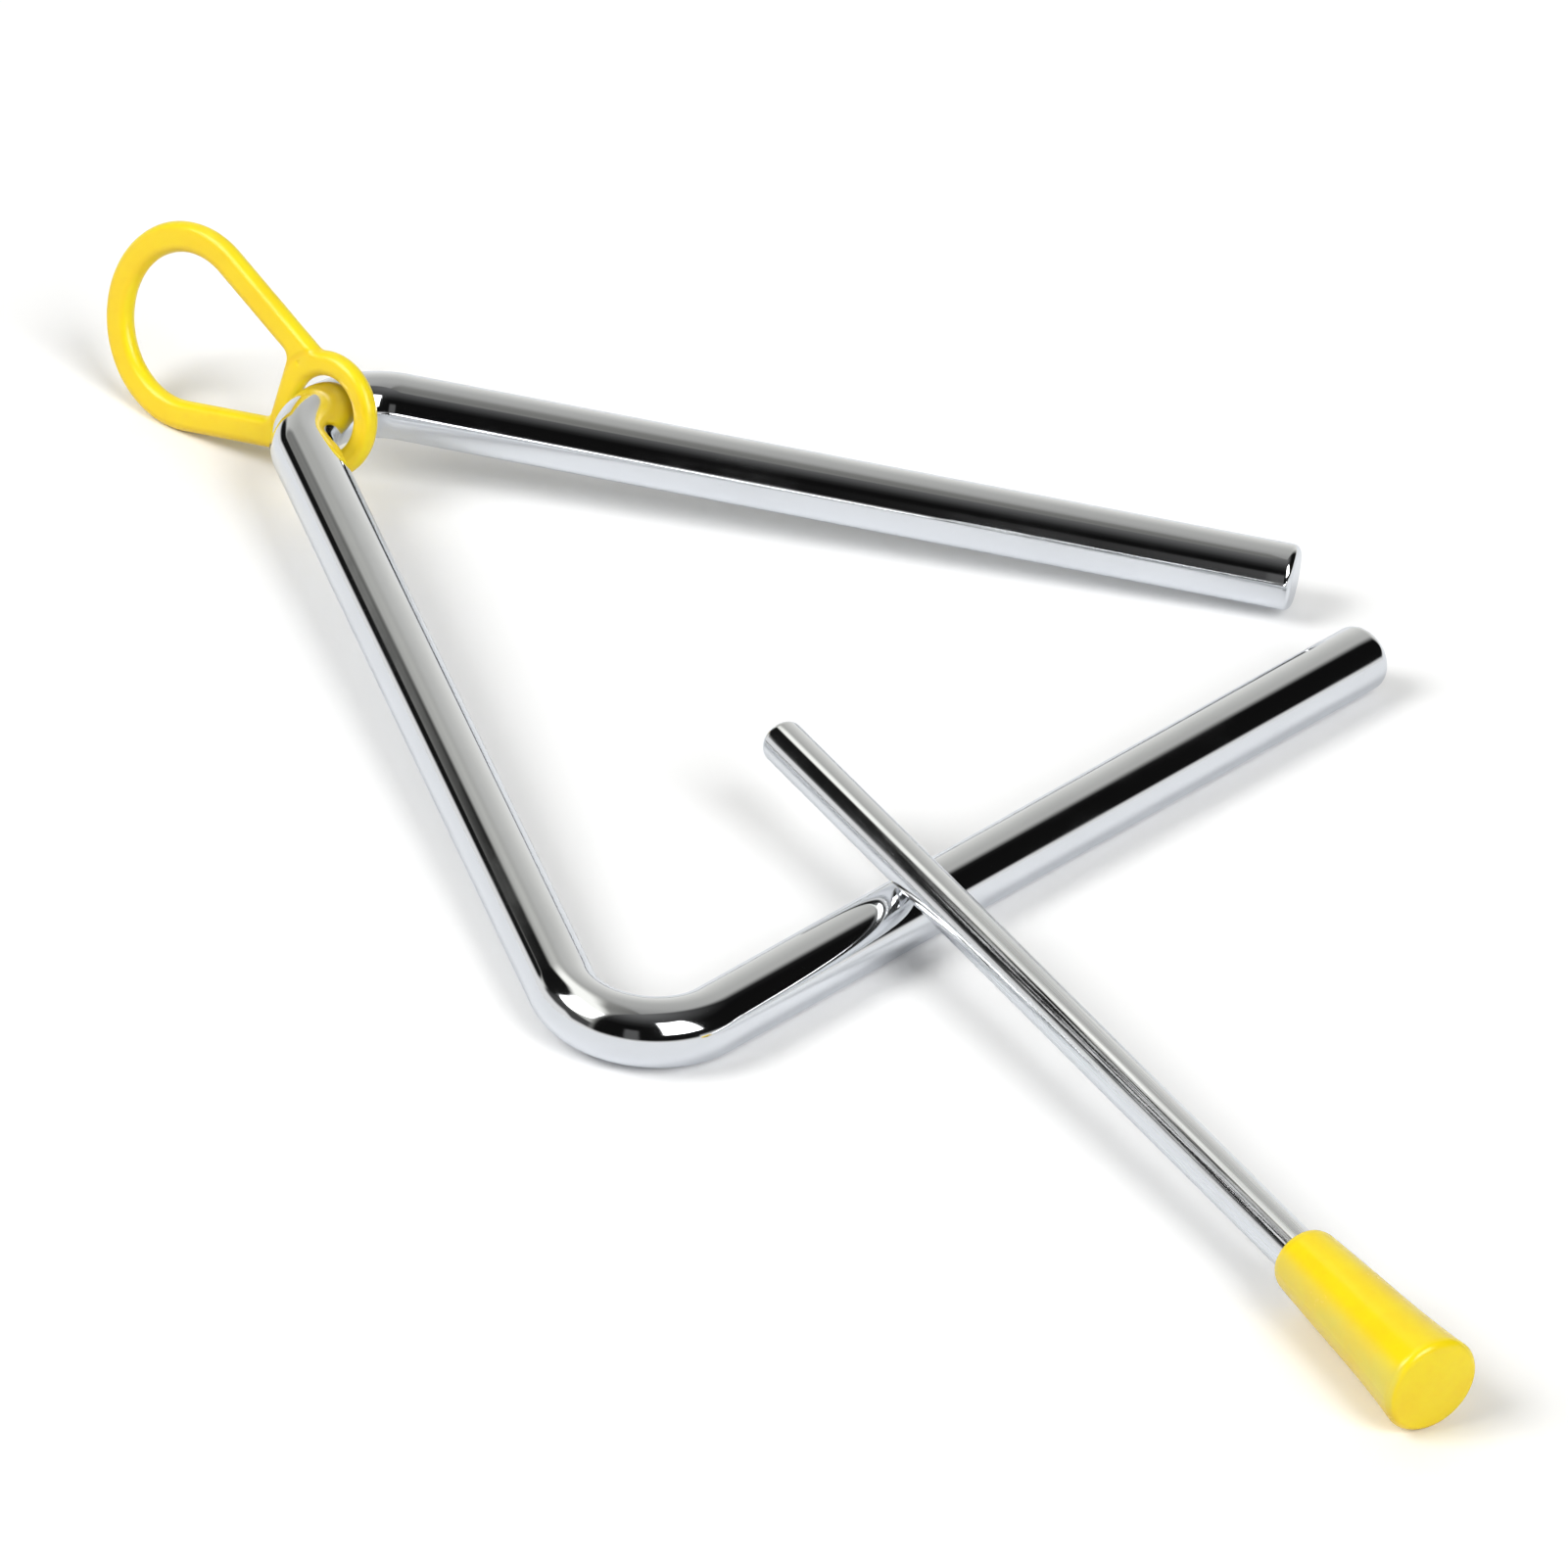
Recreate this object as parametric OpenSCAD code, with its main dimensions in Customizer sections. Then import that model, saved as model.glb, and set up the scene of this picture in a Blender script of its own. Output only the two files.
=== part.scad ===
// Open triangle with a finger hanger round its closed corner and a gripped
// beater laid across its low leg, as it lies on a table. Millimetres, +Z up.
// The low leg runs along X and the hanger's corner points along +Y.

/* [Triangle bar] */
// Diameter of the round bar
bar_d = 8; // [6:0.1:10]
// Length of a side between the corner points of the bar's centreline
side_len = 144; // [130:1:260]
// Radius of the bar's centreline in the bend beside the low leg
bend_r = 10; // [8:0.5:24]
// Radius of the centreline in the bend that carries the hanger
crown_bend_r = 9.5; // [9:0.5:24]
// How far the upper leg stops short of the open corner's point
upper_short = 18.5; // [13:0.5:40]
// How far the low leg stops short of the open corner's point
low_short = 15; // [10:0.5:40]
// Radius on the edge of the low leg's end
low_edge_r = 1.5; // [0.4:0.1:2.4]
// Radius on the edge of the upper leg's end
upper_edge_r = 1; // [0.4:0.1:2.4]

/* [Hanger] */
// Width of the ring's section in the hanger's own plane
ring_w = 3; // [2.8:0.1:4.6]
// Width of the loop's section in the same plane
loop_w = 3.8; // [2.8:0.1:5]
// Thickness of both sections, whose edges are full rounds
section_t = 2.4; // [1.6:0.1:2.6]
// Gap between the bar and the side of the ring that leans towards it
ring_gap = 0.45; // [0.4:0.05:2]
// Angle that the ring leans over on the bar
ring_lean = 15; // [0:1:15]
// How far the ring's centre stands above the bar's centreline
ring_rise = 0.1; // [0:0.05:0.1]
// Height of the ring's lowest point above the table
ring_lift = 2.9; // [0.5:0.1:6]
// Distance from the ring's centre to the centre of the loop's round end
loop_reach = 23.6; // [18:0.1:45]
// Radius of the section's middle line round the loop's end
loop_r = 10.9; // [8:0.1:13]
// How far each straight side passes from the ring's centre
side_offset = 3.5; // [1.5:0.1:4.5]

/* [Beater rod] */
// Diameter of the beater's rod
rod_d = 5.3; // [3:0.1:8]
// Length of bare rod from its tip to the grip
rod_reach = 109.7; // [90:0.1:200]
// Radius on the edge of the rod's tip
tip_edge_r = 1; // [0.3:0.1:1.4]

/* [Beater grip] */
// Length of the grip from its neck to its widest rim
grip_len = 25.2; // [18:0.1:60]
// Thickness of the grip's wall round the rod at its neck
neck_wall = 1.33; // [0.7:0.01:2.5]
// Diameter of the grip at its widest rim
rim_d = 11.5; // [9:0.1:18]
// Radius on the edges of the neck and the rim
grip_edge_r = 0.8; // [0.2:0.1:1.2]
// Height of the end face's dome above the rim's rounded edge
dome_h = 0.4; // [0.2:0.1:2]
// Thickness of solid plastic between the rod's seat and the rounded rim
end_wall = 6; // [3:0.1:9]
// Radial room for the grip's moulding round the rod
seat_gap = 0.02; // [0:0.01:0.1]

/* [Beater as it lies] */
// Where the beater crosses the low leg, from its side's middle as a share of the side
cross_share = -0.163; // [-0.34:0.001:0.2]
// Angle between the beater and the Y axis, seen from above
beater_turn = 15.8; // [-20:0.1:40]
// Length of rod from the low leg's crossing to the tip
tip_reach = 27.5; // [8:0.5:60]
// Gap left between the rod and the low leg
lie_gap = 0.2; // [0.1:0.05:1]

/* [Hidden] */
$fn = 96;
// Straight stretches run this far into the bends, which stand this much proud.
overlap = 0.2;
seam_step = 0.02;
corner_angle = 60;

bar_r = bar_d / 2;
edge_r = section_t / 2;
ring_out = (ring_w - section_t) / 2;
loop_out = (loop_w - section_t) / 2;
rod_r = rod_d / 2;
neck_r = rod_r + seat_gap + neck_wall;
rim_r = rim_d / 2;

// The ring clears the bar as it leans, and its lowest point clears the table.
ring_r = (bar_r + ring_gap + edge_r) / cos(ring_lean) + ring_out;
ring_height = ring_lift + edge_r + (ring_r + ring_out) * cos(ring_lean);
apex_height = ring_height - ring_rise;

// The bends take up these lengths of the legs.
bend_sweep = 180 - corner_angle;
bend_setback = bend_r / tan(corner_angle / 2);
crown_setback = crown_bend_r / tan(corner_angle / 2);
crown_depth = crown_bend_r / sin(corner_angle / 2) - crown_bend_r;
tri_height = side_len * sin(corner_angle);
bend_mid = tri_height - crown_depth;

// The bar leans back on its low leg until the bend is at its height.
bar_tilt = asin((apex_height - bar_r) / bend_mid);
hanger_pos = [0, bend_mid * cos(bar_tilt), ring_height];

// The loop rises or dips from the ring until its rim stands on the table.
rim_drop = (loop_r + loop_out) * cos(ring_lean) + edge_r;
hanger_rise = asin((rim_drop - ring_height) / loop_reach);

// The loop's straight sides touch its round end and stop in the ring.
side_slope = asin((loop_r - side_offset) / loop_reach);
side_start = sqrt(ring_r * ring_r - side_offset * side_offset);
side_end = loop_reach * cos(side_slope);
side_run = side_end - side_start;

// The beater lies on the low leg and on the lowest point of its rim.
cross_x = cross_share * side_len;
rod_height = bar_d + lie_gap + rod_r;
rim_reach = rod_reach - tip_reach + grip_len;
beater_dip = asin((rod_height - rim_r) / rim_reach);

// The taper touches both rounded edges, and the dome springs from the rim's.
taper_angle = atan((rim_r - neck_r) / (grip_len - grip_edge_r));
taper_out = grip_edge_r * cos(taper_angle);
taper_back = grip_edge_r * sin(taper_angle);
neck_in = neck_r - grip_edge_r;
rim_in = rim_r - grip_edge_r;
dome_base = grip_len + grip_edge_r;
seat_depth = dome_base - end_wall;
dome_r = (rim_in * rim_in + dome_h * dome_h) / (2 * dome_h);

// A rod along +Z from the plane z = 0, with the edge of its far end rounded.
module rounded_rod(r, length, round_r) {
  rotate_extrude() {
    square([r, length - round_r]);
    square([r - round_r, length]);
    translate([r - round_r, length - round_r])
      intersection() {
        circle(round_r);
        square(round_r);
      }
  }
}

// A section bent to an arc about the Z axis, starting at one angle from +X.
module bent(path_r, from, sweep) {
  rotate([0, 0, from])
    rotate_extrude(angle = sweep)
      translate([path_r, 0])
        children();
}

module triangle_bar() {
  color([0.78, 0.79, 0.81])
    translate([0, 0, bar_r])
      rotate([bar_tilt, 0, 0]) {
        // The hanger's bend, the left bend and the leg between them.
        translate([0, bend_mid - crown_bend_r, 0])
          bar_bend(crown_bend_r, corner_angle / 2);
        translate([-side_len / 2 + bend_setback, bend_r, 0])
          bar_bend(bend_r, 90 + corner_angle);
        leg([-side_len / 2, 0], corner_angle, bend_setback - overlap, side_len - crown_setback + overlap);

        // The low leg and the upper leg run to the open corner.
        leg([-side_len / 2, 0], 0, bend_setback - overlap, side_len - low_short, low_edge_r);
        leg([0, tri_height], -corner_angle, crown_setback - overlap, side_len - upper_short, upper_edge_r);
      }
}

module bar_bend(path_r, from) {
  bent(path_r, from, bend_sweep)
    circle(bar_r + seam_step);
}

// A straight leg from one corner point, between two distances along it.
module leg(corner, heading, from, to, round_r = 0) {
  translate(corner)
    rotate([0, 0, heading])
      translate([from, 0, 0])
        rotate([0, 90, 0])
          if (round_r > 0)
            rounded_rod(bar_r, to - from, round_r);
          else
            cylinder(r = bar_r, h = to - from);
}

// Drawn flat with the loop along +X, then stood on edge and swung into place.
module hanger() {
  color([1, 0.86, 0.13])
    translate(hanger_pos)
      rotate([hanger_rise, 0, 0])
        rotate([0, ring_lean, 0])
          rotate([90, 0, 90]) {
            bent(ring_r, 0, 360)
              section(ring_out);
            translate([loop_reach, 0, 0])
              bent(loop_r, -90 - side_slope, 180 + 2 * side_slope)
                section(loop_out);
            for (flip = [0, 1])
              mirror([0, flip, 0])
                rotate([0, 0, side_slope])
                  translate([side_start, side_offset, 0])
                    rotate([90, 0, 90])
                      linear_extrude(side_run + overlap)
                        section(loop_out, seam_step);

            // The bar that closes the loop lies across the ring's outer side.
            translate([ring_r, side_offset, 0])
              rotate([90, 0, 0])
                linear_extrude(2 * side_offset)
                  section(ring_out, seam_step);
          }
}

// A moulded section, wide along X, and taken in all round by a small step.
module section(out, step = 0) {
  square([2 * out, section_t - 2 * step], center = true);
  for (side = [-1, 1])
    translate([side * out, 0])
      circle(edge_r - step);
}

// Beater's own place: the rod's axis along +Z with its tip at the origin.
module beater_place() {
  translate([cross_x, 0, rod_height])
    rotate([0, 0, -beater_turn])
      rotate([90 + beater_dip, 0, 0])
        translate([0, 0, -tip_reach])
          children();
}

module beater_rod() {
  color([0.78, 0.79, 0.81])
    beater_place()
      translate([0, 0, rod_reach + seat_depth])
        mirror([0, 0, 1])
          rounded_rod(rod_r, rod_reach + seat_depth, tip_edge_r);
}

// Half of the grip's outline, from the neck at y = 0 to the domed end.
module grip_outline() {
  polygon([
    [0, 0], [neck_in, 0], [neck_in + taper_out, grip_edge_r - taper_back],
    [rim_in + taper_out, grip_len - taper_back], [rim_in, dome_base], [0, dome_base]
  ]);
  translate([neck_in, grip_edge_r])
    circle(grip_edge_r);
  translate([rim_in, grip_len])
    circle(grip_edge_r);
  intersection() {
    translate([0, dome_base + dome_h - dome_r])
      circle(dome_r);
    translate([0, grip_len])
      square([rim_in, grip_edge_r + dome_h]);
  }
}

module beater_grip() {
  color([1, 0.86, 0.13])
    beater_place()
      translate([0, 0, rod_reach])
        rotate_extrude()
          difference() {
            grip_outline();
            translate([0, -overlap])
              square([rod_r + seat_gap, seat_depth + overlap]);
          }
}

triangle_bar();
hanger();
beater_rod();
beater_grip();
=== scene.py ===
import math

import bmesh
import bpy
from mathutils import Matrix, Vector


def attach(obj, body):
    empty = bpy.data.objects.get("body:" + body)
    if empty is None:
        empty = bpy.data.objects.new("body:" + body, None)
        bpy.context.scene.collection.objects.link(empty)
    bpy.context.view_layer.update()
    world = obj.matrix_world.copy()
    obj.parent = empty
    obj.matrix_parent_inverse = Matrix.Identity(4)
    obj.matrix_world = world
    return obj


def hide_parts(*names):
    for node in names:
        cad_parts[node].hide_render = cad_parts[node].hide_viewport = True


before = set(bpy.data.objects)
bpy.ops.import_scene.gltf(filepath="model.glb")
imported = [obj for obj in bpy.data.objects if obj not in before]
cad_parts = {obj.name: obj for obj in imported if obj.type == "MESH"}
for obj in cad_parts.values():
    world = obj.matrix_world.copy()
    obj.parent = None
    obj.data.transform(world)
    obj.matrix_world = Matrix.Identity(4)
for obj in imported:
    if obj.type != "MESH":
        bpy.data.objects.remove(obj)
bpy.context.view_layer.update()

scene = bpy.context.scene
mm = 0.001


# Shader maths as plain expressions: a Socket stands for one output of a node.
class Socket:
    def __init__(self, tree, link):
        self.tree, self.link = tree, link

    def maths(self, operation, *values):
        return self.tree.add("ShaderNodeMath", {"operation": operation}, dict(enumerate(values)))

    def __add__(self, other):
        return self.maths("ADD", self, other)

    def __sub__(self, other):
        return self.maths("SUBTRACT", self, other)

    def __rsub__(self, other):
        return self.maths("SUBTRACT", other, self)

    def __mul__(self, other):
        return self.maths("MULTIPLY", self, other)

    def __truediv__(self, other):
        return self.maths("DIVIDE", self, other)

    def __rtruediv__(self, other):
        return self.maths("DIVIDE", other, self)

    def __pow__(self, other):
        return self.maths("POWER", self, other)

    def __abs__(self):
        return self.maths("ABSOLUTE", self)

    __radd__, __rmul__ = __add__, __mul__


class Tree:
    def __init__(self, owner):
        owner.use_nodes = True
        self.nodes, self.links = owner.node_tree.nodes, owner.node_tree.links
        self.nodes.clear()

    # Settings go in before the sockets' values and links.
    def add(self, kind, settings=None, values=None, output=0):
        node = self.nodes.new(kind)
        for name, value in (settings or {}).items():
            if name == "stops":
                self.setStops(node.color_ramp, value)
            else:
                setattr(node, name, value)
        for name, value in (values or {}).items():
            self.feed(node.inputs[name], value)
        return Socket(self, node.outputs[output]) if node.outputs else node

    def feed(self, target, value):
        if isinstance(value, Socket):
            self.links.new(value.link, target)
        elif isinstance(value, (tuple, list)) and target.type == "RGBA" and len(value) == 3:
            target.default_value = (*value, 1)
        else:
            target.default_value = value

    def setStops(self, ramp, stops):
        while len(ramp.elements) < len(stops):
            ramp.elements.new(0.5)
        for element, (place, colour) in zip(ramp.elements, stops):
            element.position, element.color = place, (*colour, 1)

    # A ramp whose stops stand at values between low and high.
    def ramp(self, value, low, high, stops):
        share = self.add("ShaderNodeMapRange", None, {"Value": value, "From Min": low, "From Max": high})
        spread = [((place - low) / (high - low), colour) for place, colour in stops]
        return self.add("ShaderNodeValToRGB", {"stops": spread}, {0: share})

    # Runs smoothly from 0 at the first value to 1 at the second, whichever is the larger.
    def step(self, value, zero, one):
        ends = {"Value": value, "From Min": min(zero, one), "From Max": max(zero, one)}
        rising = 1.0 if one > zero else 0.0
        ends.update({"To Min": 1.0 - rising, "To Max": rising})
        return self.add("ShaderNodeMapRange", {"interpolation_type": "SMOOTHSTEP"}, ends)

    # 1 between two values, with soft edges that reach out and in by soft.
    def band(self, value, low, high, soft):
        return self.step(value, low - soft, low + soft) * self.step(value, high + soft, high - soft)

    # A Mix node takes its colours at sockets 6 and 7 and gives the result at output 2.
    def mix(self, share, first, second):
        settings = {"data_type": "RGBA", "clamp_factor": True}
        return self.add("ShaderNodeMix", settings, {0: share, 6: first, 7: second}, 2)

    def parts(self, vector):
        whole = self.add("ShaderNodeSeparateXYZ", None, {0: vector})
        return [Socket(self, output) for output in whole.link.node.outputs]

    def vector(self, x, y, z):
        return self.add("ShaderNodeCombineXYZ", None, {0: x, 1: y, 2: z})

    def noise(self, vector, scale, detail=2.0, roughness=0.5):
        values = {"Vector": vector, "Scale": scale, "Detail": detail, "Roughness": roughness}
        return self.add("ShaderNodeTexNoise", None, values)

    def bump(self, height, distance):
        return self.add("ShaderNodeBump", None, {"Strength": 1.0, "Distance": distance, "Height": height})

    def surface(self, values):
        shader = self.add("ShaderNodeBsdfPrincipled", None, values)
        self.add("ShaderNodeOutputMaterial", None, {"Surface": shader})


print("camera")
camera = {
    "aim": (-8.460, 32.111, 0.0),  # mm on the table
    "azimuth": -48.3787,
    "elevation": 32.4286,
    "distance": 1448.267,
    "roll": 2.5247,
    "lens": 288,
    "sensor": 36,
    "clip": (0.01, 50),  # metres
}


def placeCamera(c):
    azimuth, elevation, roll = (math.radians(c[name]) for name in ("azimuth", "elevation", "roll"))
    level = Vector((-math.sin(azimuth), math.cos(azimuth), 0))
    ahead = level * math.cos(elevation) - Vector((0, 0, math.sin(elevation)))
    right = Vector((math.cos(azimuth), math.sin(azimuth), 0))
    up = right.cross(ahead)
    turned = right * math.cos(roll) + up * math.sin(roll)
    raised = up * math.cos(roll) - right * math.sin(roll)
    data = bpy.data.cameras.new("camera")
    data.lens, data.sensor_width = c["lens"], c["sensor"]
    data.clip_start, data.clip_end = c["clip"]
    holder = bpy.data.objects.new("camera", data)
    scene.collection.objects.link(holder)
    holder.matrix_world = Matrix((turned, raised, -ahead)).transposed().to_4x4()
    holder.matrix_world.translation = (Vector(c["aim"]) - ahead * c["distance"]) * mm
    scene.camera = holder


placeCamera(camera)

# The surroundings go by compass direction from +Y towards +X, and by height above the horizon.
print("surroundings")
studio = {
    "leftWindow": 8.0,
    "glow": 1.12,  # the left window's dimmer part
    "rightWindow": 7.3,
    "screen": 0.007,  # the dark panel before the left window
    "sill": 0.06,
    "post": 0.10,  # a paler strip in the dark of the room
    # Heights and tones, up the pale walls and up the dark room.
    "wall": [
        (0, 0.84), (10, 0.74), (24, 0.59), (36, 0.46), (46, 0.37), (64, 0.32), (76, 0.24), (90, 0.16)
    ],
    "room": [(0, 0.30), (6, 0.006), (46, 0.005), (56, 0.02), (68, 0.065), (80, 0.12), (90, 0.16)],
    "wallTint": (1.0, 1.0, 0.95),
    "wallFade": 0.16,  # how much paler the walls are on the right
    "screenThin": 0.35,  # how much shows through the dark panel past its slanting edge
    "table": 0.80,
    "floor": (0.80, 0.82, 0.85),  # as the metal and plastic see it
    "floorGlow": 0.02,
    "floorReach": 4,  # metres
    "floorDepth": 0.00005,
}

# Places in degrees. A pair says where something starts and where it is full. Three numbers give two
# edges and their softness. Six give an oval: middle and half width, the same upwards, softness, power.
places = {
    "wallFade": (28, 48),
    "roomRight": (80, 104),
    "roomLeft": (-78, -88),
    "post": (-127, -114, 2),
    "postTop": (38, 30),
    "leftWindow": (-26, 57, 50, 22, 0.18, 2.5),
    "leftStart": (-83, -76),
    "leftNotch": (-4, 8),
    "notchTop": (50, 38),
    "bright": (-20, -46),
    "brightTop": (62, 54),
    "sill": (-84, -24, 4),
    "sillTop": (46, 40),
    "sillSlope": 0.25,
    "screen": (-13.5, 23.5, 37, 18.5, 0.18, 2.8),
    "screenFoot": (1, 16, 14, 8, 0.3, 2.0),
    "screenEdge": (0.755, 0.775),  # along the way that the slanting edge faces
    "edgeWay": (0.5, 0.866),  # x and y of that way
    "edgeFoot": (18, 23),
    "rightWindow": (-5, 29, 3),
    "rightFoot": (22.5, 24),
    "rightTop": (64, 56),
    "table": (11, 3),
    "tableRise": (-60, -11, 6),
    "riseBy": 7,
    "tableDip": (-72, -94),
    "dipBy": 4,
}


def tinted(value, tint=(1, 1, 1)):
    return tuple(value * part for part in tint)


def paintSurroundings(s, p):
    world = bpy.data.worlds.new("surroundings")
    scene.world = world
    t = Tree(world)
    x, y, z = t.parts(t.add("ShaderNodeTexCoord", output="Generated"))
    degrees = 180 / math.pi
    compass = x.maths("ARCTAN2", x, y) * degrees
    behind = x.maths("ARCTAN2", x * -1, y * -1) * degrees  # the same, from -Y
    height = x.maths("ARCSINE", z) * degrees

    # An oval patch, squarer with a larger power.
    def oval(middle, reach, base, radius, soft, power):
        across = abs(compass - middle) / reach
        upward = abs(height - base) / radius
        return t.step((across**power + upward**power) ** (1 / power), 1 + soft, 1 - soft)

    # Pale walls towards +Y, and a dark room to both sides and behind.
    wall = t.ramp(height, 0, 90, [(place, tinted(value, s["wallTint"])) for place, value in s["wall"]])
    wall = t.mix(t.step(compass, *p["wallFade"]) * s["wallFade"], wall, (1, 1, 1))
    room = t.ramp(height, 0, 90, [(place, tinted(value)) for place, value in s["room"]])
    post = t.band(compass, *p["post"]) * t.step(height, *p["postTop"])
    room = t.mix(post, room, tinted(s["post"]))
    inRoom = t.step(compass, *p["roomRight"]) + t.step(compass, *p["roomLeft"])
    colour = t.mix(inRoom, wall, room)

    # A wide window on the left, dimmer to its right, with a dark panel before it.
    left = oval(*p["leftWindow"]) * t.step(compass, *p["leftStart"])
    left = left * (1 - t.step(compass, *p["leftNotch"]) * t.step(height, *p["notchTop"]))
    bright = left * t.step(compass, *p["bright"]) * t.step(height, *p["brightTop"])
    sill = t.band(compass, *p["sill"]) * t.step(height - compass * p["sillSlope"], *p["sillTop"])
    pastEdge = t.step(x * p["edgeWay"][0] + y * p["edgeWay"][1], *p["screenEdge"])
    pastEdge = pastEdge * t.step(height, *p["edgeFoot"])
    screen = oval(*p["screen"]) * (1 - pastEdge * s["screenThin"])
    screen = screen.maths("MAXIMUM", screen, oval(*p["screenFoot"]))

    # The right window stands behind the camera, with a sharp lower edge.
    right = t.band(behind, *p["rightWindow"])
    right = right * t.step(height, *p["rightFoot"]) * t.step(height, *p["rightTop"])
    colour = t.mix(left, colour, tinted(s["glow"], s["wallTint"]))
    colour = t.mix(bright, colour, tinted(s["leftWindow"]))
    colour = t.mix(sill, colour, tinted(s["sill"]))
    colour = t.mix(screen, colour, tinted(s["screen"]))
    colour = t.mix(right, colour, tinted(s["rightWindow"]))
    rise = t.band(compass, *p["tableRise"]) * p["riseBy"] - t.step(compass, *p["tableDip"]) * p["dipBy"]
    colour = t.mix(t.step(height - rise, *p["table"]), colour, tinted(s["table"]))
    seen = t.add("ShaderNodeLightPath", output="Is Camera Ray")
    colour = t.mix(seen, colour, (1, 1, 1))
    light = t.add("ShaderNodeBackground", None, {"Color": colour})
    t.add("ShaderNodeOutputWorld", None, {"Surface": light})


def layFloor(s):
    sheet = bpy.data.meshes.new("floor")
    reach = s["floorReach"]
    corners = [(x * reach, y * reach, -s["floorDepth"]) for x, y in ((-1, -1), (1, -1), (1, 1), (-1, 1))]
    sheet.from_pydata(corners, [], [(0, 1, 2, 3)])
    floor = bpy.data.objects.new("floor", sheet)
    scene.collection.objects.link(floor)
    paper = bpy.data.materials.new("white_floor")
    t = Tree(paper)
    seen = t.add("ShaderNodeLightPath", output="Is Camera Ray")
    t.surface({
        "Base Color": t.mix(seen, s["floor"], (1, 1, 1)),
        "Roughness": 1.0,
        "Specular IOR Level": 0.0,
        "Emission Color": t.mix(seen, (0, 0, 0), tinted(s["floorGlow"])),
        "Emission Strength": 1.0,
    })
    sheet.materials.append(paper)


paintSurroundings(studio, places)
layFloor(studio)


# Points are in millimetres in the piece's own place, which the shaders read back as "own".
def makePiece(name, points, faces, place, own=None):
    sheet = bpy.data.meshes.new(name)
    sheet.from_pydata([place @ (Vector(p) * mm) for p in points], [], faces)
    store = sheet.attributes.new("own", "FLOAT_VECTOR", "POINT")
    for entry, value in zip(store.data, own or points):
        entry.vector = Vector(value) * mm
    sheet.polygons.foreach_set("use_smooth", [True] * len(sheet.polygons))
    piece = bpy.data.objects.new(name, sheet)
    scene.collection.objects.link(piece)
    return piece


# Quads between rings that have the same number of points.
def skin(rings, around, first=0):
    faces = []
    for row in range(rings - 1):
        for i in range(around):
            j = (i + 1) % around
            a = first + row * around
            b = a + around
            faces.append((a + i, a + j, b + j, b + i))
    return faces


# Triangles from a ring to the point in its middle.
def fan(first, around, centre, flip):
    pairs = [(first + i, first + (i + 1) % around) for i in range(around)]
    return [(a, b, centre) if flip else (b, a, centre) for a, b in pairs]


def turn(axis, angle):
    return Matrix.Rotation(math.radians(angle), 4, axis)


def shift(x, y, z):
    return Matrix.Translation((x * mm, y * mm, z * mm))


def cosine(angle):
    return math.cos(math.radians(angle))


def sine(angle):
    return math.sin(math.radians(angle))


def slopeOf(rise, run):
    return math.degrees(math.asin(rise / run))


print("triangle bar")
bar = {
    "radius": 4.0,
    "side": 144.0,
    "corner": 60,  # degrees between the legs
    "bend": 10.0,  # beside the low leg
    "crownBend": 9.5,  # the bend that carries the hanger
    "upperShort": 18.52,
    "lowShort": 15.0,
    "upperEdge": 1.0,
    "lowEdge": 1.5,
    "apex": 10.23,  # height of the hanger's bend above the table
    "crown": 0.03,
    "around": 128,
    "legRows": 48,
    "bendRows": 64,
    "edgeRows": 10,
    "endRings": (0.8, 0.6, 0.4, 0.2, 0.08),  # as shares of the end face's radius
}
cornerHeight = bar["side"] * sine(bar["corner"])
bendMiddle = cornerHeight - bar["crownBend"]
barTilt = slopeOf(bar["apex"] - bar["radius"], bendMiddle)


# Each station on the centreline is x, y, heading in degrees, radius and distance along.
def barStations(b):
    stations = []
    along = 0.0
    corner = b["corner"]

    def straight(start, heading, length):
        nonlocal along
        for i in range(b["legRows"] + 1):
            gone = length * i / b["legRows"]
            x, y = start[0] + cosine(heading) * gone, start[1] + sine(heading) * gone
            stations.append((x, y, heading, b["radius"], along + gone))
        along += length

    def curve(centre, radius, fromAngle):
        nonlocal along
        sweep, count = 180 - corner, b["bendRows"]
        length = radius * math.radians(sweep)
        for i in range(1, count):
            angle = fromAngle - sweep * i / count
            x, y = centre[0] + radius * cosine(angle), centre[1] + radius * sine(angle)
            stations.append((x, y, angle - 90, b["radius"], along + length * i / count))
        along += length

    lowEnd = b["side"] / 2 - b["lowShort"] - b["lowEdge"]
    halfCorner = math.tan(math.radians(corner / 2))
    setback, crownSetback = b["bend"] / halfCorner, b["crownBend"] / halfCorner
    bendStart = -b["side"] / 2 + setback
    straight((lowEnd, 0), 180, lowEnd - bendStart)
    curve((bendStart, b["bend"]), b["bend"], 270)
    start = (-b["side"] / 2 + setback * cosine(corner), setback * sine(corner))
    straight(start, corner, b["side"] - setback - crownSetback)
    curve((0, bendMiddle - b["crownBend"]), b["crownBend"], 90 + corner)
    start = (crownSetback * cosine(corner), cornerHeight - crownSetback * sine(corner))
    straight(start, -corner, b["side"] - b["upperShort"] - b["upperEdge"] - crownSetback)
    lowCap = capped(stations[0], -1, b["lowEdge"], b)
    upperCap = capped(stations[-1], 1, b["upperEdge"], b)
    return lowCap[::-1] + stations + upperCap


# A rounded edge and a slightly crowned face, outwards from a leg's last station.
def capped(station, sign, edge, b):
    x, y, heading, radius, along = station
    flat = radius - edge
    angles = [90 * i / b["edgeRows"] for i in range(1, b["edgeRows"] + 1)]
    rows = [(edge * sine(a), flat + edge * cosine(a)) for a in angles]
    rows += [(edge - b["crown"] * (1 - k * k), flat * k) for k in b["endRings"]]
    c, s = sign * cosine(heading), sign * sine(heading)
    return [(x + c * out, y + s * out, heading, wide, along + sign * out) for out, wide in rows]


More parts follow.
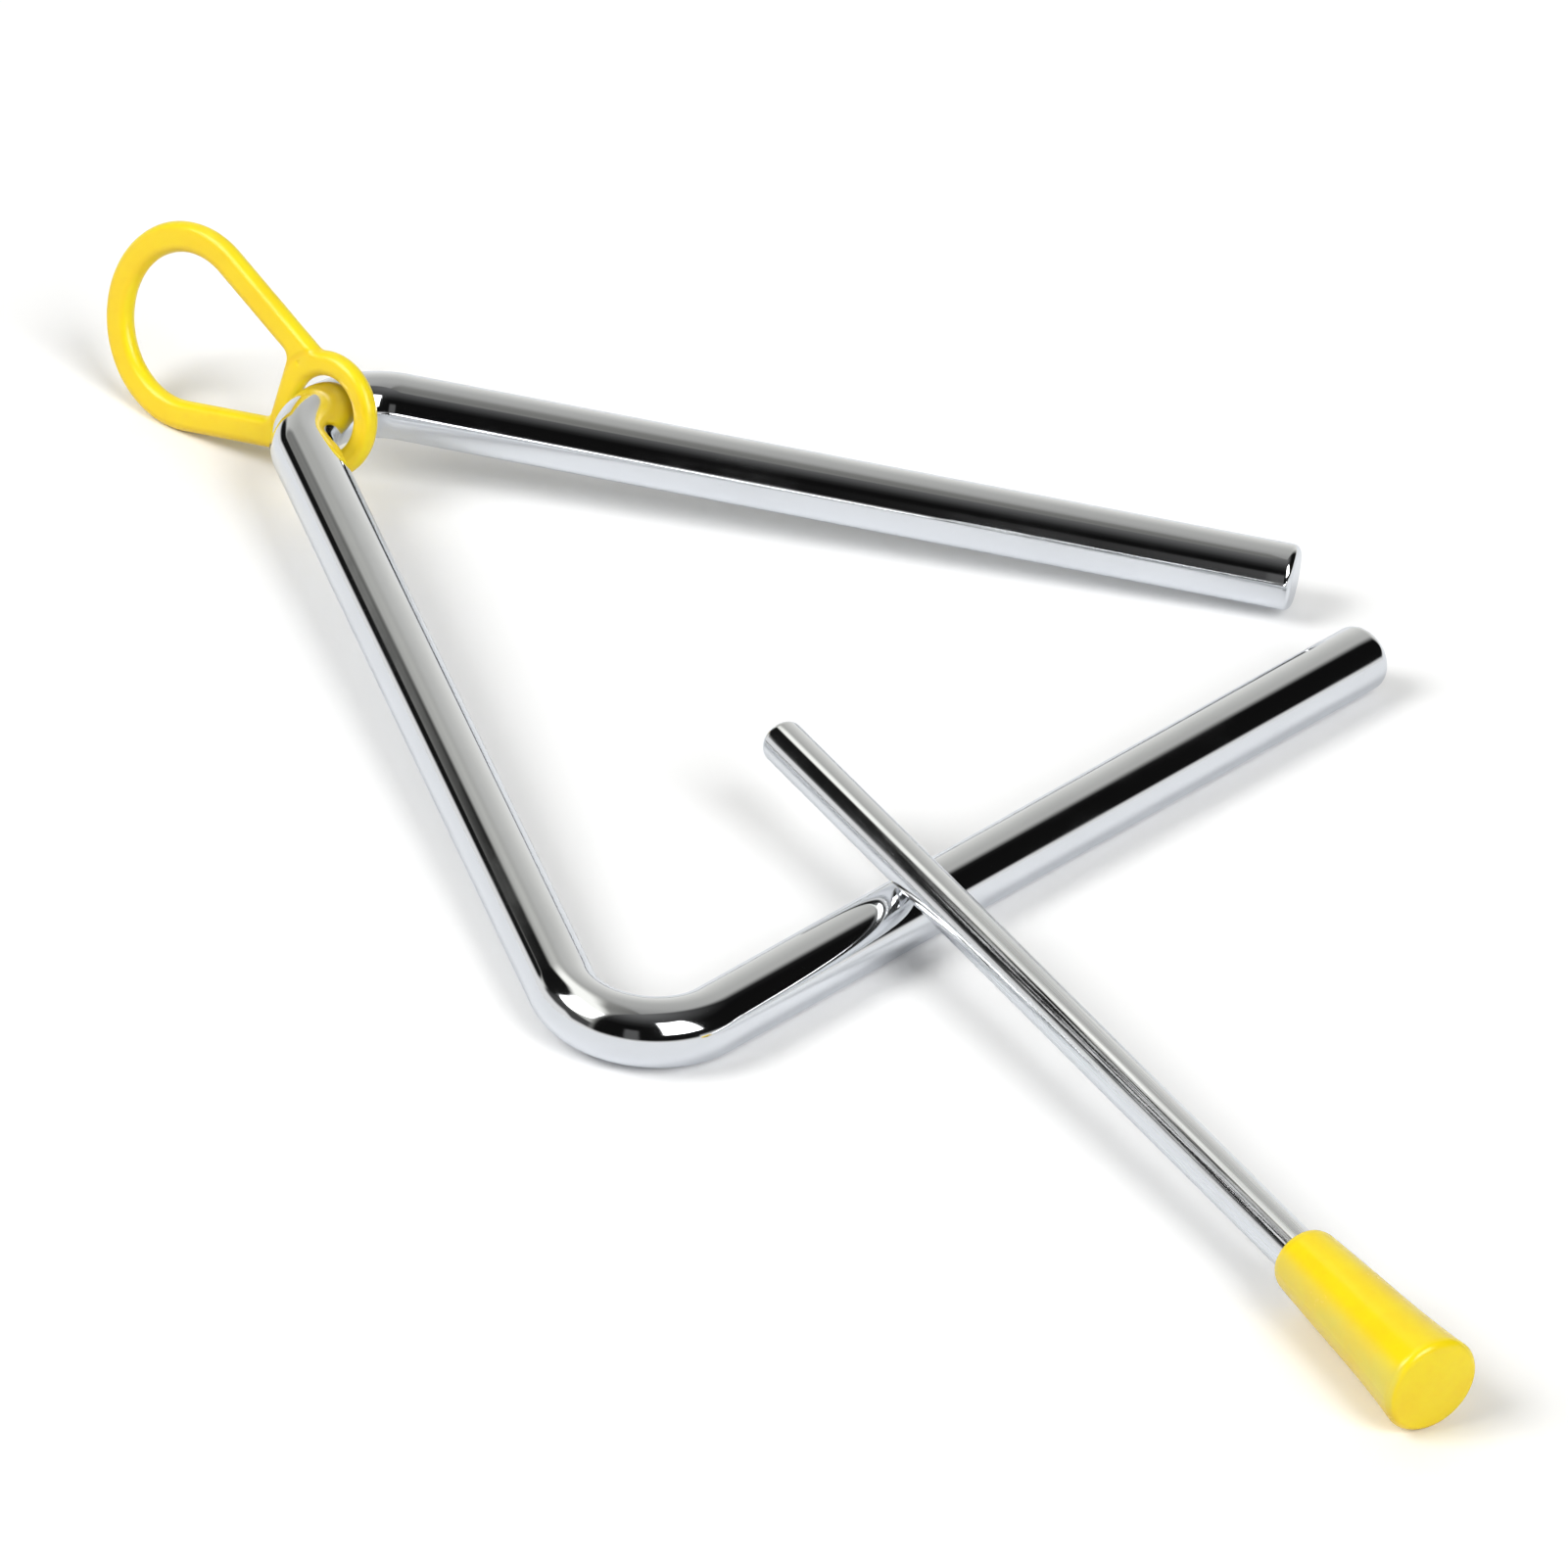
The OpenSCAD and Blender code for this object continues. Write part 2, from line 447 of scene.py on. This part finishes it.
def makeBar(b):
    stations = barStations(b)
    points, own = [], []
    n = b["around"]
    for x, y, heading, radius, along in stations:
        for i in range(n):
            across, upward = radius * cosine(360 * i / n), radius * sine(360 * i / n)
            points.append((x - sine(heading) * across, y + cosine(heading) * across, upward))
            own.append((along, across, upward))
    faces = skin(len(stations), n)
    for row in (0, len(stations) - 1):
        x, y, heading, radius, along = stations[row]
        points.append((x, y, 0))
        own.append((along, 0, 0))
        faces += fan(row * n, n, len(points) - 1, row > 0)
    return makePiece("bar", points, faces, shift(0, 0, b["radius"]) @ turn("X", barTilt), own)


print("hanger")
hanger = {
    "lean": 15.0,
    "lift": 0.1,  # of the ring's centre above the bar's
    "gap": 0.45,
    "thick": 2.4,
    "ringWide": 3.0,
    "loopWide": 3.7,
    "loop": 10.9,
    "reach": 23.6,
    "offset": 3.5,
    "corner": 1.3,  # radius in the opening's narrow corners
    "crook": 2.0,  # radius between the ring and the sides
    "step": 0.25,  # between the points of an outline
    "rows": 25,  # round the edge, from face to face
    "flash": 0.035,
    "dimple": (5.4, 4.3, 0.42, 0.11),  # x, y, radius and depth, on the face seen from the front
    "dimpleRings": ((1, 0), (0.8, 0.25), (0.55, 0.75), (0.3, 1)),  # shares of radius and depth
    "dimpleAround": 24,
}
hangerEdge = hanger["thick"] / 2
ringClear = (bar["radius"] + hanger["gap"] + hangerEdge) / cosine(hanger["lean"])
ringRadius = ringClear + hanger["ringWide"] / 2 - hangerEdge
ringHeight = bar["apex"] + hanger["lift"]
loopDrop = (hanger["loop"] + hanger["loopWide"] / 2 - hangerEdge) * cosine(hanger["lean"]) + hangerEdge
hangerRise = slopeOf(loopDrop - ringHeight, hanger["reach"])
hangerPlace = (
    shift(0, bendMiddle * cosine(barTilt), ringHeight)
    @ turn("X", hangerRise)
    @ turn("Y", hanger["lean"])
    @ turn("Z", 90)
    @ turn("X", 90)
)


# Points on an arc, each with its direction outwards or, with sign -1, inwards.
def arcPoints(centre, radius, fromAngle, toAngle, step, sign=1):
    count = max(3, int(abs(math.radians(toAngle - fromAngle)) * radius / step))
    found = []
    for i in range(count + 1):
        angle = fromAngle + (toAngle - fromAngle) * i / count
        c, s = cosine(angle), sine(angle)
        found.append((centre[0] + radius * c, centre[1] + radius * s, (sign * c, sign * s)))
    return found


# Points between two places on a straight side, without its ends.
def linePoints(start, end, into, step):
    count = max(2, int(math.dist(start, end) / step))
    across, upward = end[0] - start[0], end[1] - start[1]
    shares = [i / count for i in range(1, count)]
    return [(start[0] + across * k, start[1] + upward * k, into) for k in shares]


# The lower half follows the upper one back to its start.
def mirrored(upper):
    return upper + [(x, -y, (into[0], -into[1])) for x, y, into in upper[-2:0:-1]]


# Each outline is a list of (x, y, the direction into the plastic).
def hangerOutlines(h):
    step = h["step"]
    slope = slopeOf(h["loop"] - h["offset"], h["reach"])
    c, s = cosine(slope), sine(slope)

    def spun(x, y):
        return (x * c - y * s, x * s + y * c)

    # Outside: the loop's round end, a side, the crook and the ring.
    outer, line, fillet = ringRadius + h["ringWide"] / 2, h["offset"] + h["loopWide"] / 2, h["crook"]
    near = math.sqrt((outer + fillet) ** 2 - (line + fillet) ** 2)
    middle = spun(near, line + fillet)
    meets = math.degrees(math.atan2(middle[1], middle[0]))
    far = h["reach"] * c
    upper = arcPoints((h["reach"], 0), h["loop"] + h["loopWide"] / 2, 0, 90 + slope, step, -1)
    upper += linePoints(spun(far, line), spun(near, line), (s, -c), step)
    upper += arcPoints(middle, fillet, slope - 90, meets - 180, step / 2)
    upper += arcPoints((0, 0), outer, meets, 180, step, -1)[1:]
    outside = mirrored(upper)
    ringHole = arcPoints((0, 0), ringRadius - h["ringWide"] / 2, 0, 360, step)[:-1]

    # The loop's opening: its round end, a side, a narrow corner and the straight across.
    edge, line, fillet = outer, h["offset"] - h["loopWide"] / 2, h["corner"]
    middle = (edge + fillet, ((edge + fillet) * s + line - fillet) / c)
    near = middle[0] * c + middle[1] * s
    upper = arcPoints((h["reach"], 0), h["loop"] - h["loopWide"] / 2, 0, 90 + slope, step)
    upper += linePoints(spun(far, line), spun(near, line), (-s, c), step)
    upper += arcPoints(middle, fillet, 90 + slope, 180, step / 2)
    upper += linePoints((edge, middle[1]), (edge, 0), (-1, 0), step)
    upper.append((edge, 0, (-1, 0)))
    return [outside, ringHole, mirrored(upper)]


def makeHanger(h):
    rows = h["rows"]
    points, faces, lowLoops, highLoops = [], [], [], []
    for outline in hangerOutlines(h):
        n, base = len(outline), len(points)
        for row in range(rows):
            angle = 180 * row / (rows - 1) - 90
            flash = h["flash"] if row == rows // 2 else 0
            deep, upward = hangerEdge * (1 - cosine(angle)) - flash, hangerEdge * sine(angle)
            points += [(x + into[0] * deep, y + into[1] * deep, upward) for x, y, into in outline]
        faces += skin(rows, n, base)
        lowLoops.append((base, n))
        highLoops.append((base + (rows - 1) * n, n))

    # A small round mark, sunk into the low face.
    x, y, radius, depth = h["dimple"]
    base, n = len(points), h["dimpleAround"]
    for share, sunk in h["dimpleRings"]:
        for i in range(n):
            out, angle = radius * share, 360 * i / n
            points.append((x + out * cosine(angle), y + out * sine(angle), depth * sunk - hangerEdge))
    points.append((x, y, depth - hangerEdge))
    rings = len(h["dimpleRings"])
    faces += skin(rings, n, base) + fan(base + (rings - 1) * n, n, len(points) - 1, False)
    lowLoops.append((base, n))
    piece = makePiece("hanger_moulding", points, faces, hangerPlace)
    fillFlats(piece, (lowLoops, highLoops))
    return piece


# The two flat faces lie between the loops' edges.
def fillFlats(piece, flats):
    form = bmesh.new()
    form.from_mesh(piece.data)
    form.verts.ensure_lookup_table()
    for loops in flats:
        edges = []
        for first, n in loops:
            ring = [form.verts[first + i] for i in range(n)]
            edges += [form.edges.get((ring[i], ring[(i + 1) % n])) for i in range(n)]
        bmesh.ops.triangle_fill(form, edges=edges, use_beauty=True, use_dissolve=False)
    bmesh.ops.recalc_face_normals(form, faces=form.faces)
    form.to_mesh(piece.data)
    form.free()
    piece.data.polygons.foreach_set("use_smooth", [True] * len(piece.data.polygons))


print("beater")
beater = {
    "crossShare": -0.163,
    "lieGap": 0.2,
    "turn": 15.8,
    "tipReach": 27.5,
    "rodRadius": 2.65,
    "rodReach": 109.7,
    "seat": 20.0,
    "tipEdge": 1.0,
    "tipDish": 0.02,  # how far the tip's face is hollowed
    "tipRings": (0.08, 0.3, 0.55, 0.8),  # as shares of the face's radius
    "seatEnd": 0.8,  # the hidden ends of rod and bore stop this far short of the seat's bottom
    "rodHole": 0.2,  # radius left in the hidden end's last ring
    "rodRows": 80,
    "edgeRows": 12,
    "around": 96,
    "gripLength": 25.2,
    "seatGap": 0.02,
    "boreRows": (10, 2, 0.35),  # heights from the neck's end
    "neck": 4.0,
    "neckRound": 1.6,  # length of the neck's soft rounding
    "neckAngles": (-75, -5, 7),  # first, end and step, in degrees
    "rim": 5.75,
    "edge": 0.8,
    "rimEdge": 0.95,
    "rimAngles": (6, 85, 6),
    "rimLead": 0.07,  # where the rim's rounding takes over, as a share of its radius
    "dome": 0.4,
    "domeRings": (1, 0.92, 0.8, 0.65, 0.5, 0.36, 0.24, 0.12, 0.04),
    "waist": 0.2,
    "waistPower": 1.9,  # a larger one moves the waist towards the rim
    "waistRate": 6,  # how soon the waist sets in
    "taperRows": 48,
    "seam": 0.025,
    "seamWide": 0.22,
    "seamFrom": 3.8,  # radius beyond which the parting line runs
    "gripAround": 192,
}
rodHeight = 2 * bar["radius"] + beater["lieGap"] + beater["rodRadius"]
rimReach = beater["rodReach"] - beater["tipReach"] + beater["gripLength"]
beaterDip = slopeOf(rodHeight - beater["rim"], rimReach)
beaterPlace = (
    shift(beater["crossShare"] * bar["side"], 0, rodHeight)
    @ turn("Z", -beater["turn"])
    @ turn("X", 90 + beaterDip)
    @ shift(0, 0, -beater["tipReach"])
)


# A turned form about Z, from (radius, height) pairs, whose ends close on the axis.
def lathe(name, profile, around, place, reshape=None):
    points = []
    for radius, height in profile:
        for i in range(around):
            angle = 360 * i / around
            out = reshape(radius, height, angle) if reshape else radius
            points.append((out * cosine(angle), out * sine(angle), height))
    faces = skin(len(profile), around)
    for row in (0, len(profile) - 1):
        points.append((0, 0, profile[row][1]))
        faces += fan(row * around, around, len(points) - 1, row > 0)
    return makePiece(name, points, faces, place, [(z, x, y) for x, y, z in points])


def makeRod(b):
    radius, edge, rows = b["rodRadius"], b["tipEdge"], b["rodRows"]
    angles = [90 * i / b["edgeRows"] for i in range(b["edgeRows"] + 1)]
    end = b["rodReach"] + b["seat"] - b["seatEnd"]
    profile = [(k * (radius - edge), b["tipDish"] * (1 - k * k)) for k in b["tipRings"]]
    profile += [(radius - edge * (1 - sine(a)), edge * (1 - cosine(a))) for a in angles]
    profile += [(radius, edge + (end - edge) * i / rows) for i in range(1, rows + 1)]
    profile.append((b["rodHole"], end))
    return lathe("rod", profile, b["around"], beaterPlace)


def makeGrip(b):
    length, rim, edge = b["gripLength"], b["rim"], b["rimEdge"]
    bore = b["rodRadius"] + b["seatGap"]
    profile = [(bore, z) for z in (b["seat"] - b["seatEnd"], *b["boreRows"])]

    # A softly rounded neck, then a taper that is drawn in most near the rim.
    neck, soft, rows = b["neck"], b["neckRound"], b["taperRows"]
    flat = neck - b["edge"]
    profile += [(flat + b["edge"] * cosine(a), soft * (1 + sine(a))) for a in range(*b["neckAngles"])]
    rimStart = length - edge * b["rimLead"]
    for i in range(rows + 1):
        k = i / rows
        share = soft / length + (1 - soft / length) * k
        waist = b["waist"] * max(0, math.sin(math.pi * share ** b["waistPower"]))
        radius = neck + (rim - neck) * k - waist * min(1, b["waistRate"] * k)
        profile.append((radius, soft + (rimStart - soft) * k))

    # The rim's rounded edge and the domed end.
    flat, top = rim - edge, length + b["edge"]
    rimAngles = range(*b["rimAngles"])
    profile += [(flat + edge * cosine(a), top - edge + edge * sine(a)) for a in rimAngles]
    profile += [(flat * k, top + b["dome"] * (1 - k * k)) for k in b["domeRings"]]

    # Raised a little, a fine parting line runs down both sides.
    def reshape(radius, height, angle):
        if radius < b["seamFrom"] or height > length:
            return radius
        off = abs(sine(angle)) * radius / b["seamWide"]
        return radius - b["seam"] * min(1, off)

    return lathe("grip", profile, b["gripAround"], beaterPlace @ shift(0, 0, b["rodReach"]), reshape)


print("finishes")
barChrome = {
    "name": "bar_chrome",
    "colour": (0.85, 0.86, 0.875),
    "dull": (0.76, 0.77, 0.78),
    "roughness": 0.05,
    "smudge": 0.07,
    "draw": 0.0000012,  # metres of relief
    "worn": 0.0,  # how dull the scuffs towards a handled end are
    # Noise by its scales along and across the metal, detail and roughness.
    "lines": (40, 4000, 2.0, 0.6),
    "smudges": (60, 160, 4.0, 0.62),
    "scuffs": (30, 4200, 3.0, 0.6),
    "speckScale": 1400,
    "rippleScale": 120,
    # Where each starts in its noise and where it is full.
    "smudgesFrom": (0.46, 0.72),
    "specksFrom": (0.70, 0.80),
    "scuffsFrom": (0.40, 0.57),
    "scuffsAlong": (14, 50),  # mm from the tip
    # How much each one dulls the colour, roughens the metal or stands in the relief.
    "smudgeDull": 0.35,
    "speckDull": 0.25,
    "lineRough": 0.02,
    "lineRelief": 0.6,
    "rippleRelief": 0.4,
}
rodChrome = dict(barChrome, name="rod_chrome", roughness=0.07, smudge=0.05, draw=0.0000018, worn=0.21)


def chromeFinish(c):
    finish = bpy.data.materials.new(c["name"])
    t = Tree(finish)
    own = t.add("ShaderNodeAttribute", {"attribute_name": "own"}, output="Vector")
    along, across, upward = t.parts(own)

    def streaks(lengthwise, sideways, detail, roughness):
        stretched = t.vector(along * lengthwise, across * sideways, upward * sideways)
        return t.noise(stretched, 1.0, detail, roughness)

    # Fine draw lines run along the metal, and handling marks lie over them.
    lines = streaks(*c["lines"])
    smudges = t.step(streaks(*c["smudges"]), *c["smudgesFrom"])
    specks = t.step(t.noise(own, c["speckScale"]), *c["specksFrom"])
    scuffs = t.step(streaks(*c["scuffs"]), *c["scuffsFrom"])
    start, full = c["scuffsAlong"]
    scuffs = scuffs * t.step(along, start * mm, full * mm)
    dulled = smudges * c["smudgeDull"] + specks * c["speckDull"]
    marks = smudges * c["smudge"] + lines * c["lineRough"] + scuffs * c["worn"]
    relief = lines * c["lineRelief"] + t.noise(own, c["rippleScale"]) * c["rippleRelief"]
    t.surface({
        "Base Color": t.mix(dulled, c["colour"], c["dull"]),
        "Metallic": 1.0,
        "Roughness": c["roughness"] + marks,
        "Normal": t.bump(relief, c["draw"]),
    })
    return finish


hangerPlastic = {
    "name": "hanger_plastic",
    "colour": (0.95, 0.765, 0.010),
    # The deep orange that random tone, painted shade on the undersides and painted shade in the crease
    # mix towards.
    "deep": (0.92, 0.555, 0.006),
    "roughness": 0.32,
    "relief": 0.00002,  # metres
    "side": (0.94, 0.65, 0.010),  # painted shade on the side that faces -X
    "paintedSideShare": 0.8,
    "crease": True,  # a faint groove where the ring stands out of the loop's sides, with painted shade in it
    # Noise by its scale, detail and roughness.
    "flow": (160, 3.0, 0.55),
    "mottle": (900, 3.0, 0.6),
    "grains": (2600, 3.0, 0.6),
    # Where each starts and where it is full, by the normal, the noise or in mm.
    "paintedSideFrom": (-0.60, -0.92),
    # The undersides' setting and depth paint shade there: surfaces facing down turn deeper orange.
    "paintedUnderShadeFrom": (0.25, -0.75),
    "flowFrom": (0.40, 0.70),
    "mottleFrom": (0.45, 0.75),
    "creaseWide": (0.55, 0.05),
    "creaseFrom": (2.5, 4.5),
    # How much each one deepens the colour (random tone, or painted shade on the undersides and in the
    # crease), roughens the plastic or stands in the relief.
    "flowDeep": 0.25,
    "mottleDeep": 0.10,
    "paintedUnderShadeDeep": 0.5,
    "creaseShadeDeep": 0.35,
    "flowRough": 0.14,
    "mottleRough": 0.08,
    "grainRelief": 0.5,
    "flowRelief": 0.5,
    "creaseRelief": 3,
    "specular": 0.45,
}
gripPlastic = dict(
    hangerPlastic,
    name="grip_plastic",
    colour=(0.97, 0.75, 0.008),
    roughness=0.24,
    # On the grip, the side facing -X takes a painted reflection of grey surroundings, paler and greener.
    side=(0.74, 0.63, 0.10),
    crease=False,
)


def plasticFinish(p):
    finish = bpy.data.materials.new(p["name"])
    t = Tree(finish)
    own = t.add("ShaderNodeAttribute", {"attribute_name": "own"}, output="Vector")
    flow = t.noise(own, *p["flow"])
    mottle = t.noise(own, *p["mottle"])
    facing, _, upward = t.parts(t.add("ShaderNodeTexCoord", output="Normal"))
    paintedUnderShade = t.step(upward, *p["paintedUnderShadeFrom"])  # painted shade: the colour deepens towards orange on the undersides
    # Painted shade and reflection: the side that faces -X takes the side colour.
    colour = t.mix(t.step(facing, *p["paintedSideFrom"]) * p["paintedSideShare"], p["colour"], p["side"])
    # depth adds random deeper tone from flow and mottle to painted shade on the undersides.
    depth = t.step(flow, *p["flowFrom"]) * p["flowDeep"]
    depth = depth + t.step(mottle, *p["mottleFrom"]) * p["mottleDeep"] + paintedUnderShade * p["paintedUnderShadeDeep"]
    height = t.noise(own, *p["grains"]) * p["grainRelief"] + flow * p["flowRelief"]
    if p["crease"]:
        x, y, _ = t.parts(own)
        outline = (ringRadius + hanger["ringWide"] / 2) * mm
        away = abs((x * x + y * y) ** 0.5 - outline)
        wide, fine = (edge * mm for edge in p["creaseWide"])
        start, full = (place * mm for place in p["creaseFrom"])
        # The groove sinks the relief and darkens the colour there as painted shade.
        groove = t.step(away, wide, fine) * t.step(x, start, full)
        height = height - groove * p["creaseRelief"]
        depth = depth + groove * p["creaseShadeDeep"]
    t.surface({
        "Base Color": t.mix(depth, colour, p["deep"]),
        "Roughness": p["roughness"] + (flow - 0.5) * p["flowRough"] + (mottle - 0.5) * p["mottleRough"],
        "Specular IOR Level": p["specular"],
        "Normal": t.bump(height, p["relief"]),
    })
    return finish


print("pieces")
for piece, node, body, slot, finish in (
    (makeBar(bar), "triangle_bar", "triangle", "chrome", chromeFinish(barChrome)),
    (makeHanger(hanger), "hanger", "hanger", "yellow_plastic", plasticFinish(hangerPlastic)),
    (makeRod(beater), "beater_rod", "beater", "chrome", chromeFinish(rodChrome)),
    (makeGrip(beater), "beater_grip", "beater", "yellow_plastic", plasticFinish(gripPlastic)),
):
    piece.data.materials.append(finish)
    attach(piece, body)
    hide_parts(node)

scene.view_settings.view_transform = "Standard"
print("done")
